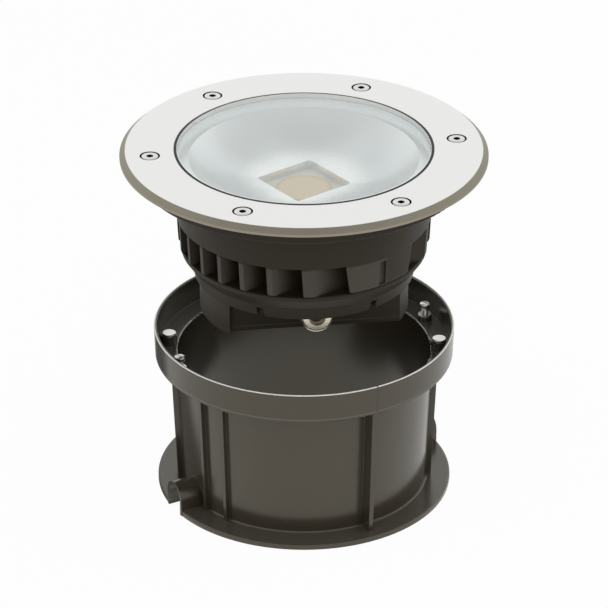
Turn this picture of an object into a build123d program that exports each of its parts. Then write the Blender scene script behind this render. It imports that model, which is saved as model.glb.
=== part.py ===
# In-ground recessed light: a round luminaire lifted above the plastic pot that it drops into.
# Millimetres, +Z up. The origin is the centre of the pot's underside. X points at one of the six
# trim screws, and the cable gland points along -Y. The luminaire is modelled lifted out of the pot.
from build123d import *
from math import cos, radians, sin, sqrt
import os

# Fits
slide_gap = 0.1  # round pieces that drop into each other
thread_gap = 0.05  # between a screw's shank and its hole
seat_gap = 0.3  # left between the housing flange and the pot's rim when the luminaire is seated

# Luminaire stack, from the trim down
lift = 108.5  # how far the luminaire stands above its seat in the pot
glass_r = 79.6  # glass that shows inside the trim
glass_drop = 0.5  # glass top below trim top
glass_bevel = 0.6
shoulder_w = 5.9  # step of the glass that the trim holds down
shoulder_t = 3.0
gasket_w = 1.65  # black line between glass and trim
gasket_t = 1.5
seal_t = 1.2  # flat ring under the glass
seal_w = 4.5
pocket_gap = 0.8
trim_t = 4.2
trim_over = 11.0  # trim past the housing flange
bevel_w = 3.5
edge_h = 1.2  # upright part of the trim's outer edge, above the flange
trim_lip = 0.4  # the trim's underside reaches this far down round the flange

# Trim screws, M6 with a low hexagon-socket head
trim_screw_n = 6
trim_screw_in = 10.1  # from the wall of the glass pocket
trim_screw_head_r = 5.25
trim_screw_head_h = 2.8
trim_screw_shank_r = 3.0
trim_screw_reach = 7.5  # shank in the flange
trim_screw_hex = 4.0  # across flats
trim_screw_hex_d = 1.8
trim_bore_gap = 1.1  # head to counterbore wall

# Reflector, and the COB light source below it
reflector_rim_w = 7.6  # flat rim inside the glass
reflector_gap = 2.4  # glass seat to reflector rim
reflector_t = 1.0
reflector_d = 16.5
reflector_waist = 0.36  # height of the middle section, as a share of the bowl
reflector_waist_in = 22.0  # middle section's sides, from the round opening
reflector_waist_flat = 12.0  # half of a side's flat length there
square_w = 42.0
square_round = 2.0
neck_h = 2.7
holder_w = 60.0
holder_h = 5.0
holder_screw_in = 3.7  # screw centre from the holder's side
holder_screw_head_r = 2.75
holder_screw_head_h = 1.6
holder_screw_shank_r = 1.5
holder_screw_reach = 4.0
board_w = 46.0
board_t = 1.6
pad_t = 0.3
emitter_r = 17.5
emitter_t = 0.8

# Die-cast housing: cup, parallel fins, deck and skirt
cup_room = 3.4  # reflector opening to cup wall
cup_wall = 4.7
body_draft = 1.2
ledge_t = 1.7  # flange metal left under the reflector rim
flange_over = 8.0  # flange past the pot's rim
seat_h = 4.3  # pedestal of the light source
seat_room = 1.6  # pedestal past the holder's corners
floor_t = 4.4
hub_wall = 4.0
hub_h = 6.4
body_round = 1.2
nose_draft = 1.0  # fin noses taper in by this much from the cup down to the deck
nose_round = 3.0
fin_h = 20.3
fin_t = 2.8
fin_n = 9
fin_angle = 30.0  # direction of the fins and of the light source's sides
side_d = 3.3  # depth of the two closed sides
side_gap = 10.4  # last fin to closed side
groove_w = 5.0
groove_d = 1.8
groove_margin = 2.0
ring_in = 2.5  # deck inside the cup's lower edge
ring_h = 10.0
ring_edge = 2.6
ring_slope = 5.1
ring_round = 1.2
deck_t = 6.0
skirt_step = 1.0
skirt_draft = 2.0
skirt_wall = 3.2
skirt_h = 9.0
slot_n = 6
slot_w = 5.0
slot_h = 6.0

# Driver box under the deck, with a bay for the cable gland
box_wall = 3.0
box_drop = 20.0  # below the skirt
box_seal_t = 2.0
bay_d = 31.2  # bay wall from the front of the box
bay_w = 54.0  # bay's left wall from the gland
bay_round = 4.0
cover_t = 2.5
cover_seal_t = 1.0
cover_screw_angles = (-20, 60, 120, 200)
cover_boss_r = 4.5
cover_screw_head_r = 3.5
cover_screw_head_h = 2.4
cover_screw_shank_r = 2.0
cover_screw_reach = 4.0  # shank in the deck
driver_size = (84.0, 38.0, 18.0)
driver_y = 14.0
driver_ear = 7.0
driver_ear_t = 3.0
driver_screw_head_r = 2.75
driver_screw_head_h = 1.6
driver_screw_shank_r = 1.5
driver_screw_reach = 3.5
terminal_size = (32.0, 13.0, 12.0)
terminal_gap = 5.5  # bay wall to terminal block
terminal_n = 3
terminal_hole_r = 2.0
terminal_hole_d = 7.0

# Cable gland, M16
gland_x = 2.0
gland_drop = 10.6  # axis below the skirt
gland_thread_r = 8.0
gland_flats = 20.6
gland_hex_t = 5.0
gland_washer_t = 1.0
gland_washer_w = 1.6
gland_nut_flats = 20.0
gland_nut_l = 8.0
gland_nut_grip = 3.5  # nut's hexagon, before its dome
gland_nut_wall = 1.6
gland_front_l = 5.0  # thread that the nut sits on
gland_seal_wall = 1.9
cable_r = 4.25
lock_nut_flats = 19.0
lock_nut_t = 4.0

# Pot: collar, well, flange, ribs and cable entries
pot_h = 112.0
body_clear = 0.9  # luminaire to well
ledge_w = 12.8
ledge_floor_t = 2.2
lip_t = 2.2
collar_h = 20.0
collar_draft = 0.7
well_draft = 3.5
well_wall = 2.0
rim_round = 0.8
collar_round = 1.0
foot_over = 15.5  # foot flange past the well wall
foot_t = 3.2
foot_round = 0.8
foot_fillet = 1.2  # where the wall meets the foot
entry_angle = 21.5  # direction of the two cable entries
entry_w = 19.0
entry_h = 20.0
entry_wall = 2.0
rib_angles = (-32.7, -19.9, 10.9, 23.7)  # shallow ribs, from the cable entry
rib_t = 2.4
rib_out = 3.2
gusset_angle = -90.5  # deep rib, from the cable entry
gusset_t = 3.0
gusset_out = 9.4
rivet_angle = -31.5  # flat-topped rivets, from the cable entry
rivet_in = 5.6  # from the well's edge
rivet_head_r = 4.5
rivet_head_h = 1.5
rivet_shank_r = 2.4
rivet_l = 6.0
rivet_boss_r = 5.2
rivet_boss_h = 6.8
web_t = 1.6
clamp_angle = -4.5  # retaining screws, from the cable entry
clamp_in = 5.2  # from the well's edge
clamp_boss_r = 4.6
clamp_boss_h = 3.8
clamp_washer_r = 4.3
clamp_washer_t = 1.0
clamp_back_off = 5.0  # the screws stand backed off above their washers
clamp_head_r = 3.5
clamp_head_h = 3.0
clamp_shank_r = 2.0
clamp_slot_w = 1.0
clamp_slot_d = 1.0

# Radii that follow, from the glass outwards
trim_in_r = glass_r + gasket_w
shoulder_r = glass_r + shoulder_w
pocket_r = shoulder_r + pocket_gap
trim_screw_r = pocket_r + trim_screw_in
trim_bore_r = trim_screw_head_r + trim_bore_gap
reflector_r = glass_r - reflector_rim_w
cup_r = reflector_r + cup_room
body_r = cup_r + cup_wall
body_top_r = body_r + body_draft
well_r = body_r + body_clear
well_low_r = well_r - well_draft
collar_r = well_r + ledge_w
rim_r = collar_r + lip_t
foot_r = well_low_r + well_wall + foot_over
flange_r = rim_r + flange_over
trim_r = flange_r + trim_over

# Radii of the luminaire's lower half
nose_r = body_r - nose_draft
ring_r = body_r - ring_in
ring_low_r = ring_r - ring_slope
skirt_top_r = ring_low_r - skirt_step
skirt_r = skirt_top_r - skirt_draft
skirt_in_r = skirt_r - skirt_wall
box_r = skirt_in_r - slide_gap
box_in_r = box_r - box_wall
cover_screw_r = box_in_r + box_wall / 2 - cover_boss_r
bay_y = bay_d - box_r
bay_x = gland_x - bay_w

# Heights that follow, from the pot up to the trim, then down through the luminaire
ledge_z = pot_h - collar_h + ledge_floor_t
flange_z = pot_h + seat_gap + lift
pocket_d = gasket_t + shoulder_t + seal_t
flange_top = flange_z + ledge_t + reflector_t + reflector_gap + pocket_d
trim_top = flange_top + trim_t
glass_top = trim_top - glass_drop
shoulder_top = flange_top - gasket_t
glass_z = shoulder_top - shoulder_t
pocket_z = flange_top - pocket_d
reflector_top = pocket_z - reflector_gap
rim_ledge_z = reflector_top - reflector_t
square_z = reflector_top - reflector_d
holder_top = square_z - neck_h
seat_z = holder_top - holder_h
board_z = seat_z + pad_t
board_top = board_z + board_t
floor_top = seat_z - seat_h
floor_z = floor_top - floor_t
deck_top = floor_z - fin_h
deck_z = deck_top - deck_t
ring_z = deck_top - ring_h
skirt_z = ring_z - skirt_h
box_top = deck_z - box_seal_t
box_z = skirt_z - box_drop
cover_top = box_z - cover_seal_t
cover_z = cover_top - cover_t

# Reflector and light source
waist_half = reflector_r - reflector_waist_in
waist_z = square_z + reflector_waist * reflector_d
holder_screw_at = holder_w / 2 - holder_screw_in
seat_r = holder_w / sqrt(2) + seat_room
hub_r = seat_r + hub_wall


def level(z, turn=0.0):
    """Horizontal sketch plane at height z, turned about the upright axis."""
    return Plane.XY.offset(z).rotated((0, 0, turn))


def upright(turn):
    """Sketch plane through the axis: x runs outwards at this turn, y runs up."""
    out = Vector(cos(radians(turn)), sin(radians(turn)), 0)
    return Plane((0, 0, 0), x_dir=out, z_dir=out.cross(Vector(0, 0, 1)))


def facing(turn, out):
    """Sketch plane that faces outwards at this turn and distance: x runs sideways, y runs up."""
    away = upright(turn).x_dir
    return Plane(away * out, x_dir=Vector(0, 0, 1).cross(away), z_dir=away)


def outline(*points):
    """Filled outline through (radius, height) points, in the sketch at hand."""
    Polygon(*points, align=None)


def at(sketch, *points):
    """The corners of a sketch that lie at these points."""
    return [sketch.vertices().sort_by_distance((x, y, 0))[0] for x, y in points]


def hand_in(piece, name):
    """Labels a finished piece and writes it."""
    piece.part.label = name
    export_step(piece.part, f"parts/{name}.step")


os.makedirs("parts", exist_ok=True)

# Stainless trim ring with six counterbored holes
with BuildPart() as trim_ring:
    with BuildSketch(Plane.XZ):
        outline(
            (trim_in_r, flange_top),
            (flange_r + slide_gap, flange_top),
            (flange_r + slide_gap, flange_top - trim_lip),
            (trim_r, flange_top - trim_lip),
            (trim_r, flange_top + edge_h),
            (trim_r - bevel_w, trim_top),
            (trim_in_r, trim_top),
        )
    revolve(axis=Axis.Z)
    with Locations((0, 0, trim_top)):
        with PolarLocations(trim_screw_r, trim_screw_n):
            CounterBoreHole(trim_screw_shank_r + slide_gap, trim_bore_r, trim_screw_head_h, trim_t)
hand_in(trim_ring, "trim_ring")

# Trim screws, heads flush with the trim
with BuildPart() as trim_screws:
    with BuildSketch(level(trim_top - trim_screw_head_h)):
        with PolarLocations(trim_screw_r, trim_screw_n):
            Circle(trim_screw_head_r)
    extrude(amount=trim_screw_head_h)
    fillet(trim_screws.edges().filter_by(GeomType.CIRCLE).group_by(Axis.Z)[-1], trim_screw_head_h / 4)
    with BuildSketch(level(flange_top - trim_screw_reach)):
        with PolarLocations(trim_screw_r, trim_screw_n):
            Circle(trim_screw_shank_r)
    extrude(amount=trim_screw_reach + trim_t - trim_screw_head_h)
    with BuildSketch(level(trim_top - trim_screw_hex_d)):
        with PolarLocations(trim_screw_r, trim_screw_n):
            RegularPolygon(trim_screw_hex / 2, 6, major_radius=False)
    extrude(amount=trim_screw_hex_d, mode=Mode.SUBTRACT)
hand_in(trim_screws, "trim_screws")

# Stepped glass: the top stands in the trim, the shoulder lies under it
with BuildPart() as front_glass:
    with BuildSketch(Plane.XZ):
        outline(
            (0, glass_z),
            (shoulder_r, glass_z),
            (shoulder_r, shoulder_top),
            (glass_r, shoulder_top),
            (glass_r, glass_top - glass_bevel),
            (glass_r - glass_bevel, glass_top),
            (0, glass_top),
        )
    revolve(axis=Axis.Z)
hand_in(front_glass, "front_glass")

# Gasket that wraps the glass's step and shows as a thin black line
with BuildPart() as glass_gasket:
    with BuildSketch(Plane.XZ):
        outline(
            (glass_r + slide_gap, shoulder_top),
            (shoulder_r, shoulder_top),
            (shoulder_r, flange_top),
            (trim_in_r - slide_gap, flange_top),
            (trim_in_r - slide_gap, glass_top),
            (glass_r + slide_gap, glass_top),
        )
    revolve(axis=Axis.Z)
hand_in(glass_gasket, "glass_gasket")

# Flat seal under the glass
with BuildPart() as glass_seat_seal:
    with BuildSketch(level(pocket_z)):
        Circle(shoulder_r)
        Circle(shoulder_r - seal_w, mode=Mode.SUBTRACT)
    extrude(amount=seal_t)
hand_in(glass_seat_seal, "glass_seat_seal")


# Pressed reflector: flat rim with an upright lip, bowl from a round opening to a square one, and square neck
with BuildPart() as reflector:
    with BuildSketch(level(rim_ledge_z)):
        Circle(glass_r)
    extrude(amount=reflector_t)
    with BuildSketch(level(reflector_top)):
        Circle(glass_r)
        Circle(glass_r - reflector_t, mode=Mode.SUBTRACT)
    extrude(amount=glass_z - slide_gap - reflector_top)
    for wall, mode in ((reflector_t, Mode.ADD), (0, Mode.SUBTRACT)):
        with BuildSketch(level(square_z - wall, fin_angle)):
            RectangleRounded(square_w, square_w, square_round)
        with BuildSketch(level(waist_z - wall, fin_angle)):
            RectangleRounded(2 * waist_half, 2 * waist_half, waist_half - reflector_waist_flat)
        with BuildSketch(level(reflector_top - wall, fin_angle)):
            Circle(reflector_r)
        loft(mode=mode)
        with BuildSketch(level(holder_top, fin_angle)):
            RectangleRounded(square_w + 2 * wall, square_w + 2 * wall, square_round + wall)
        extrude(amount=neck_h, mode=mode)
hand_in(reflector, "reflector")

# Holder that clamps the board round its edge
with BuildPart() as led_holder:
    with BuildSketch(level(seat_z, fin_angle)):
        RectangleRounded(holder_w, holder_w, holder_screw_in)
        with GridLocations(2 * holder_screw_at, 2 * holder_screw_at, 2, 2):
            Circle(holder_screw_shank_r + slide_gap, mode=Mode.SUBTRACT)
    extrude(amount=holder_h)
    with BuildSketch(level(seat_z, fin_angle)):
        Rectangle(board_w + 2 * slide_gap, board_w + 2 * slide_gap)
    extrude(amount=pad_t + board_t, mode=Mode.SUBTRACT)
    with BuildSketch(level(board_top, fin_angle)):
        RectangleRounded(square_w, square_w, square_round)
    extrude(amount=holder_top - board_top, mode=Mode.SUBTRACT)
hand_in(led_holder, "led_holder")

# Screws of the holder
with BuildPart() as holder_screws:
    with BuildSketch(level(holder_top, fin_angle)):
        with GridLocations(2 * holder_screw_at, 2 * holder_screw_at, 2, 2):
            Circle(holder_screw_head_r)
    extrude(amount=holder_screw_head_h)
    with BuildSketch(level(seat_z - holder_screw_reach, fin_angle)):
        with GridLocations(2 * holder_screw_at, 2 * holder_screw_at, 2, 2):
            Circle(holder_screw_shank_r)
    extrude(amount=holder_screw_reach + holder_h)
hand_in(holder_screws, "holder_screws")

# Thermal pad, board and light-emitting disc
with BuildPart() as thermal_pad:
    with BuildSketch(level(seat_z, fin_angle)):
        Rectangle(board_w, board_w)
    extrude(amount=pad_t)
hand_in(thermal_pad, "thermal_pad")

with BuildPart() as led_board:
    with BuildSketch(level(board_z, fin_angle)):
        Rectangle(board_w, board_w)
    extrude(amount=board_t)
hand_in(led_board, "led_board")

with BuildPart() as led_emitter:
    with BuildSketch(level(board_top)):
        Circle(emitter_r)
    extrude(amount=emitter_t)
hand_in(led_emitter, "led_emitter")

# Die-cast housing: cup over parallel fins, closed at two sides, on a deck with a skirt
side_at = nose_r - side_d
fin_reach = side_at - side_gap - fin_t / 2
fin_offsets = [(2 * i / (fin_n - 1) - 1) * fin_reach for i in range(fin_n)]
with BuildPart() as lamp_housing:
    with BuildSketch(level(deck_top, fin_angle)):
        for offset in fin_offsets:
            with Locations((0, offset)):
                Rectangle(2 * body_r, fin_t)
        with Locations((0, side_at)):
            Rectangle(2 * body_r, body_r - side_at, align=(Align.CENTER, Align.MIN))
        with Locations((0, -side_at)):
            Rectangle(2 * body_r, body_r - side_at, align=(Align.CENTER, Align.MAX))
    extrude(amount=fin_h + body_round)
    with BuildSketch(Plane.XZ) as nose_section:
        outline(
            (0, deck_top),
            (nose_r, deck_top),
            (body_r, floor_z),
            (body_r, floor_z + body_round),
            (0, floor_z + body_round),
        )
        fillet(at(nose_section, (nose_r, deck_top)), nose_round)
    revolve(axis=Axis.Z, mode=Mode.INTERSECT)
    with BuildSketch(level(deck_top + groove_margin, fin_angle)):
        with Locations((0, nose_r), (0, -nose_r)):
            Rectangle(groove_w, 2 * groove_d)
    extrude(amount=fin_h - 2 * groove_margin, mode=Mode.SUBTRACT)
    with BuildSketch(level(floor_z - hub_h)):
        Circle(hub_r)
    extrude(amount=hub_h)
    with BuildSketch(Plane.XZ) as cup_section:
        outline(
            (0, floor_z),
            (body_r, floor_z),
            (body_top_r, flange_z),
            (flange_r, flange_z),
            (flange_r, flange_top),
            (pocket_r, flange_top),
            (pocket_r, pocket_z),
            (glass_r + slide_gap, pocket_z),
            (glass_r + slide_gap, rim_ledge_z),
            (cup_r, rim_ledge_z),
            (cup_r, floor_top),
            (seat_r, floor_top),
            (seat_r, seat_z),
            (0, seat_z),
        )
        fillet(at(cup_section, (body_r, floor_z), (flange_r, flange_z)), body_round)
    revolve(axis=Axis.Z)
    with BuildSketch(Plane.XZ) as deck_section:
        outline(
            (0, deck_z),
            (skirt_in_r, deck_z),
            (skirt_in_r, skirt_z),
            (skirt_r, skirt_z),
            (skirt_top_r, ring_z),
            (ring_low_r, ring_z),
            (ring_r, deck_top - ring_edge),
            (ring_r, deck_top),
            (0, deck_top),
        )
        fillet(at(deck_section, (ring_r, deck_top), (ring_r, deck_top - ring_edge)), ring_round)
    revolve(axis=Axis.Z)
    with BuildSketch(level(skirt_z)):
        with PolarLocations((skirt_in_r + skirt_top_r) / 2, slot_n):
            Rectangle(2 * skirt_wall + skirt_draft, slot_w)
    extrude(amount=slot_h, mode=Mode.SUBTRACT)
    with BuildSketch(level(flange_z)):
        with PolarLocations(trim_screw_r, trim_screw_n):
            Circle(trim_screw_shank_r + thread_gap)
    extrude(amount=flange_top - flange_z, mode=Mode.SUBTRACT)
    with BuildSketch(level(seat_z - holder_screw_reach, fin_angle)):
        with GridLocations(2 * holder_screw_at, 2 * holder_screw_at, 2, 2):
            Circle(holder_screw_shank_r + thread_gap)
    extrude(amount=holder_screw_reach, mode=Mode.SUBTRACT)
    with BuildSketch(level(deck_z)):
        for angle in cover_screw_angles:
            with PolarLocations(cover_screw_r, 1, start_angle=angle):
                Circle(cover_screw_shank_r + thread_gap)
    extrude(amount=cover_screw_reach, mode=Mode.SUBTRACT)
    with BuildSketch(level(deck_z)):
        with Locations((0, driver_y)):
            with GridLocations(driver_size[0] + driver_ear, 1, 2, 1):
                Circle(driver_screw_shank_r + thread_gap)
    extrude(amount=driver_screw_reach, mode=Mode.SUBTRACT)
hand_in(lamp_housing, "lamp_housing")


def box_outline(inset):
    """Plan of the driver box, with the bay at the front right cut away, moved in by inset."""
    Circle(box_r - inset)
    with Locations((bay_x - inset, bay_y + inset)):
        RectangleRounded(
            2 * box_r, 2 * box_r, bay_round + inset, align=(Align.MIN, Align.MAX), mode=Mode.SUBTRACT
        )


# Seal between the driver box and the deck
with BuildPart() as box_seal:
    with BuildSketch(level(box_top)):
        Circle(box_r)
        Circle(box_in_r, mode=Mode.SUBTRACT)
    extrude(amount=box_seal_t)
hand_in(box_seal, "box_seal")

# Driver box: round where it enters the skirt, cut back below it for the gland
gland_z = skirt_z - gland_drop
gland_face = Plane((gland_x, bay_y, gland_z), x_dir=(1, 0, 0), z_dir=(0, -1, 0))
with BuildPart() as driver_box:
    with BuildSketch(level(skirt_z)):
        Circle(box_r)
    extrude(amount=box_top - skirt_z)
    with BuildSketch(level(box_z)):
        box_outline(0)
    extrude(amount=box_drop)
    with BuildSketch(level(skirt_z + box_wall)):
        Circle(box_in_r)
    extrude(amount=box_top - skirt_z - box_wall, mode=Mode.SUBTRACT)
    with BuildSketch(level(box_z)):
        box_outline(box_wall)
    extrude(amount=box_drop + box_wall, mode=Mode.SUBTRACT)
    with BuildSketch(level(box_z)):
        for angle in cover_screw_angles:
            with PolarLocations(cover_screw_r, 1, start_angle=angle):
                Circle(cover_boss_r)
    extrude(amount=box_top - box_z)
    with BuildSketch(level(box_z)):
        for angle in cover_screw_angles:
            with PolarLocations(cover_screw_r, 1, start_angle=angle):
                Circle(cover_screw_shank_r + slide_gap)
    extrude(amount=box_top - box_z, mode=Mode.SUBTRACT)
    with BuildSketch(gland_face):
        Circle(gland_thread_r + slide_gap)
    extrude(amount=-box_wall, mode=Mode.SUBTRACT)
hand_in(driver_box, "driver_box")

# Driver with two screwed ears, under the deck
with BuildPart() as led_driver:
    with BuildSketch(level(deck_z - driver_size[2])):
        with Locations((0, driver_y)):
            RectangleRounded(driver_size[0], driver_size[1], 2 * driver_ear_t)
    extrude(amount=driver_size[2])
    with BuildSketch(level(deck_z - driver_ear_t)):
        with Locations((0, driver_y)):
            SlotOverall(driver_size[0] + 2 * driver_ear, 2 * driver_ear)
            with GridLocations(driver_size[0] + driver_ear, 1, 2, 1):
                Circle(driver_screw_shank_r + slide_gap, mode=Mode.SUBTRACT)
    extrude(amount=driver_ear_t)
hand_in(led_driver, "led_driver")

with BuildPart() as driver_screws:
    with BuildSketch(level(deck_z - driver_ear_t - driver_screw_head_h)):
        with Locations((0, driver_y)):
            with GridLocations(driver_size[0] + driver_ear, 1, 2, 1):
                Circle(driver_screw_head_r)
    extrude(amount=driver_screw_head_h)
    with BuildSketch(level(deck_z - driver_ear_t)):
        with Locations((0, driver_y)):
            with GridLocations(driver_size[0] + driver_ear, 1, 2, 1):
                Circle(driver_screw_shank_r)
    extrude(amount=driver_ear_t + driver_screw_reach)
hand_in(driver_screws, "driver_screws")

# Terminal block behind the gland
terminal_y = bay_y + box_wall + terminal_gap + terminal_size[1] / 2
with BuildPart() as terminal_block:
    with BuildSketch(level(deck_z - terminal_size[2])):
        with Locations((gland_x, terminal_y)):
            Rectangle(terminal_size[0], terminal_size[1])
    extrude(amount=terminal_size[2])
    with BuildSketch(level(deck_z - terminal_size[2])):
        with Locations((gland_x, terminal_y)):
            with GridLocations(terminal_size[0] / terminal_n, 1, terminal_n, 1):
                Circle(terminal_hole_r)
    extrude(amount=terminal_hole_d, mode=Mode.SUBTRACT)
hand_in(terminal_block, "terminal_block")

# Cover of the driver box, its seal, and the long screws that hold both to the deck
with BuildPart() as cover_seal:
    with BuildSketch(level(cover_top)):
        box_outline(0)
    extrude(amount=cover_seal_t)
    with BuildSketch(level(cover_top)):
        box_outline(box_wall)
    extrude(amount=cover_seal_t, mode=Mode.SUBTRACT)
    with BuildSketch(level(cover_top)):
        for angle in cover_screw_angles:
            with PolarLocations(cover_screw_r, 1, start_angle=angle):
                Circle(cover_boss_r)
    extrude(amount=cover_seal_t)
    with BuildSketch(level(cover_top)):
        for angle in cover_screw_angles:
            with PolarLocations(cover_screw_r, 1, start_angle=angle):
                Circle(cover_screw_shank_r + slide_gap)
    extrude(amount=cover_seal_t, mode=Mode.SUBTRACT)
hand_in(cover_seal, "cover_seal")

with BuildPart() as driver_cover:
    with BuildSketch(level(cover_z)):
        box_outline(0)
        for angle in cover_screw_angles:
            with PolarLocations(cover_screw_r, 1, start_angle=angle):
                Circle(cover_screw_shank_r + slide_gap, mode=Mode.SUBTRACT)
    extrude(amount=cover_t)
hand_in(driver_cover, "driver_cover")

with BuildPart() as cover_screws:
    with BuildSketch(level(cover_z - cover_screw_head_h)):
        for angle in cover_screw_angles:
            with PolarLocations(cover_screw_r, 1, start_angle=angle):
                Circle(cover_screw_head_r)
    extrude(amount=cover_screw_head_h)
    with BuildSketch(level(cover_z)):
        for angle in cover_screw_angles:
            with PolarLocations(cover_screw_r, 1, start_angle=angle):
                Circle(cover_screw_shank_r)
    extrude(amount=deck_z + cover_screw_reach - cover_z)
hand_in(cover_screws, "cover_screws")

# Cable gland on the wall of the bay: washer, body, seal, dome nut and lock nut
gland_shell_r = cable_r + gland_seal_wall
hex_front = gland_washer_t + gland_hex_t
with BuildPart() as gland_washer:
    with BuildSketch(gland_face):
        Circle(gland_thread_r + gland_washer_w)
        Circle(gland_thread_r + slide_gap, mode=Mode.SUBTRACT)
    extrude(amount=gland_washer_t)
hand_in(gland_washer, "gland_washer")

with BuildPart() as gland_body:
    with BuildSketch(gland_face.offset(gland_washer_t)):
        RegularPolygon(gland_flats / 2, 6, major_radius=False)
    extrude(amount=gland_hex_t)
    with BuildSketch(gland_face.offset(gland_washer_t)):
        Circle(gland_thread_r)
    extrude(amount=-(gland_washer_t + box_wall + lock_nut_t))
    with BuildSketch(gland_face.offset(hex_front)):
        Circle(gland_nut_flats / 2 - gland_nut_wall - slide_gap)
    extrude(amount=gland_front_l)
    with BuildSketch(gland_face.offset(hex_front + gland_front_l)):
        Circle(gland_shell_r + slide_gap)
    extrude(amount=-(gland_front_l + hex_front + box_wall + lock_nut_t), mode=Mode.SUBTRACT)
hand_in(gland_body, "gland_body")

with BuildPart() as gland_nut:
    with BuildSketch(gland_face.offset(hex_front)):
        RegularPolygon(gland_nut_flats / 2, 6, major_radius=False)
    extrude(amount=gland_nut_grip)
    with BuildSketch(gland_face.offset(hex_front + gland_nut_grip)):
        Circle(gland_nut_flats / 2)
    extrude(amount=gland_nut_l - gland_nut_grip)
    fillet(gland_nut.edges().group_by(Axis.Y)[0], gland_nut_grip / 2)
    with BuildSketch(gland_face.offset(hex_front)):
        Circle(gland_nut_flats / 2 - gland_nut_wall)
    extrude(amount=gland_front_l + slide_gap, mode=Mode.SUBTRACT)
    with BuildSketch(gland_face.offset(hex_front)):
        Circle(cable_r + gland_seal_wall / 2)
    extrude(amount=gland_nut_l, mode=Mode.SUBTRACT)
hand_in(gland_nut, "gland_nut")

with BuildPart() as gland_seal:
    with BuildSketch(gland_face):
        Circle(gland_shell_r)
        Circle(cable_r, mode=Mode.SUBTRACT)
    extrude(amount=hex_front + gland_front_l)
hand_in(gland_seal, "gland_seal")

with BuildPart() as gland_lock_nut:
    with BuildSketch(gland_face.offset(-box_wall)):
        RegularPolygon(lock_nut_flats / 2, 6, major_radius=False)
        Circle(gland_thread_r + thread_gap, mode=Mode.SUBTRACT)
    extrude(amount=-lock_nut_t)
hand_in(gland_lock_nut, "gland_lock_nut")

# Pot, open below: foot flange, tapered well, ledge and collar
collar_z = pot_h - collar_h
rivet_r = well_r + rivet_in
clamp_r = well_r + clamp_in
clamp_boss_top = ledge_z + clamp_boss_h
rivet_boss_top = ledge_z + rivet_boss_h
ends = (0, 180)
rib_places = [entry_angle + end + angle for end in ends for angle in rib_angles]
gusset_places = [entry_angle + end + gusset_angle for end in ends]
rivet_places = [entry_angle + end + rivet_angle for end in ends]
clamp_places = [entry_angle + end + clamp_angle for end in ends]
entry_places = [entry_angle + end for end in ends]


def entry_outline(inset):
    """Arch of a cable entry, open at the ground, with its walls moved in by inset."""
    spring = entry_h - entry_w / 2
    with Locations((0, spring)):
        Circle(entry_w / 2 - inset)
    Rectangle(entry_w - 2 * inset, spring, align=(Align.CENTER, Align.MIN))


with BuildPart() as recess_pot:
    with BuildSketch(Plane.XZ) as pot_section:
        outline(
            (well_low_r, 0),
            (foot_r, 0),
            (foot_r, foot_t),
            (well_low_r + well_wall, foot_t),
            (well_r + well_wall, collar_z),
            (rim_r - collar_draft, collar_z),
            (rim_r, pot_h),
            (collar_r, pot_h),
            (collar_r, ledge_z),
            (well_r, ledge_z),
        )
        fillet(at(pot_section, (rim_r, pot_h), (collar_r, pot_h)), rim_round)
        fillet(at(pot_section, (rim_r - collar_draft, collar_z), (well_r, ledge_z)), collar_round)
        fillet(at(pot_section, (foot_r, foot_t)), foot_round)
        fillet(at(pot_section, (well_low_r + well_wall, foot_t)), foot_fillet)
    revolve(axis=Axis.Z)
    for turn in rib_places:
        with BuildSketch(upright(turn)):
            outline(
                (well_low_r + well_wall / 2, foot_t),
                (well_low_r + well_wall + rib_out, foot_t),
                (well_r + well_wall + rib_out, collar_z),
                (well_r + well_wall / 2, collar_z),
            )
        extrude(amount=rib_t / 2, both=True)
    for turn in gusset_places:
        with BuildSketch(upright(turn)):
            outline(
                (well_low_r + well_wall / 2, foot_t),
                (well_low_r + well_wall + gusset_out, foot_t),
                (well_r + well_wall + gusset_out, collar_z),
                (well_r + well_wall / 2, collar_z),
            )
        extrude(amount=gusset_t / 2, both=True)
    for turn in rivet_places:
        with BuildSketch(level(ledge_z, turn)):
            with Locations((rivet_r, 0)):
                Circle(rivet_boss_r)
                Rectangle(collar_r + lip_t / 2 - rivet_r, web_t, align=(Align.MIN, Align.CENTER))
        extrude(amount=rivet_boss_h)
        with BuildSketch(level(rivet_boss_top, turn)):
            with Locations((rivet_r, 0)):
                Circle(rivet_shank_r + slide_gap)
        extrude(amount=-rivet_l, mode=Mode.SUBTRACT)
    for turn in clamp_places:
        with BuildSketch(level(ledge_z, turn)):
            with Locations((clamp_r, 0)):
                Circle(clamp_boss_r)
        extrude(amount=clamp_boss_h)
        with BuildSketch(level(clamp_boss_top, turn)):
            with Locations((clamp_r, 0)):
                Circle(clamp_shank_r + thread_gap)
        extrude(amount=-(clamp_boss_h + ledge_floor_t), mode=Mode.SUBTRACT)
    for turn in entry_places:
        with BuildSketch(facing(turn, foot_r)):
            entry_outline(0)
        extrude(amount=-(foot_over + well_wall / 2))
        with BuildSketch(facing(turn, foot_r)):
            entry_outline(entry_wall)
        extrude(amount=-(foot_r - well_low_r + entry_wall), mode=Mode.SUBTRACT)
hand_in(recess_pot, "recess_pot")

# Flat-topped rivets on the two taller bosses
with BuildPart() as boss_rivets:
    for turn in rivet_places:
        with BuildSketch(level(rivet_boss_top, turn)):
            with Locations((rivet_r, 0)):
                Circle(rivet_head_r)
        extrude(amount=rivet_head_h)
        with BuildSketch(level(rivet_boss_top, turn)):
            with Locations((rivet_r, 0)):
                Circle(rivet_shank_r)
        extrude(amount=-rivet_l)
    rivet_tops = boss_rivets.edges().filter_by(GeomType.CIRCLE).group_by(Axis.Z)[-1]
    fillet(rivet_tops, rivet_head_h / 3)
hand_in(boss_rivets, "boss_rivets")

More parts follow.
